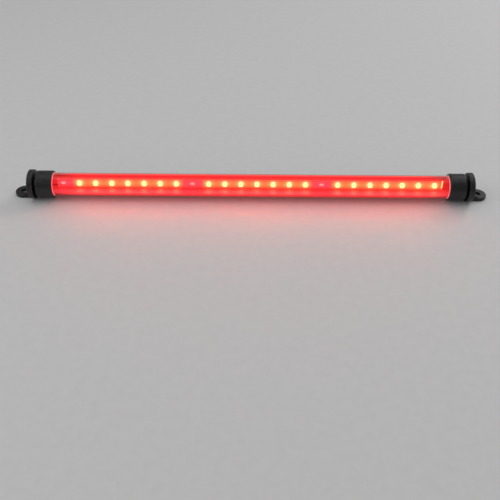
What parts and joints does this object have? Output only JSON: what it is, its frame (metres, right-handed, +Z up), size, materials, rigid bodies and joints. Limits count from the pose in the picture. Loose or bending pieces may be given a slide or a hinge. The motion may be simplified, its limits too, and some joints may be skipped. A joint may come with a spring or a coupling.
{
  "type": "third brake light",
  "caption": "High-mounted brake light bar: a red light row in a clear tube lens between end caps that tilt on two screw-down feet.",
  "frame": {"origin": "on the mounting plane under the feet, midway between the two foot holes", "axes": "+X along the lamp, -Y the way the light is thrown at rest, +Z up from the mounting plane"},
  "size_m": [0.371, 0.0253, 0.0226],
  "materials": {
    "foot_plastic": "fine moulded texture, black",
    "cap_plastic": "satin moulded, black",
    "cover_plastic": "fine moulded texture, black",
    "rubber": "matt black",
    "steel": "zinc plated",
    "brass": "turned",
    "lens": "clear, red, polished",
    "carrier_metal": "mill finish, bright",
    "board": "white solder mask",
    "package": "white moulded",
    "light": "cast silicone, lit red",
    "ceramic": "pale ceramic",
    "solder": "bright solder",
    "red_insulation": "smooth",
    "black_insulation": "smooth",
    "foam_tape": "closed foam"
  },
  "bodies": {
    "feet": {"left_foot": "foot_plastic", "right_foot": "foot_plastic", "left_friction_washer": "rubber", "right_friction_washer": "rubber", "left_spring_washer": "steel", "right_spring_washer": "steel"},
    "lamp": {"left_end_cap": "cap_plastic", "right_end_cap": "cap_plastic", "left_seal_ring": "rubber", "right_seal_ring": "rubber", "left_thread_insert": "brass", "right_thread_insert": "brass", "left_pivot_screw": "steel", "right_pivot_screw": "steel", "left_cap_screws": "steel", "right_cap_screws": "steel", "lens_tube": "lens", "board_carrier": "carrier_metal", "led_board": "board", "led_packages": "package", "led_windows": "light", "ballast_resistors": "ceramic", "solder_terminals": "solder", "positive_lead": "red_insulation", "negative_lead": "black_insulation", "cable_gland": "rubber", "cover_tape": "foam_tape", "rear_cover": "cover_plastic"}
  },
  "joints": [
    {"name": "lamp_tilt", "type": "hinge", "parent": "feet", "child": "lamp", "pos_m": [0, -0.0043, 0.0113], "axis": [1, 0, 0], "range_deg": [-40, 90]}
  ]
}
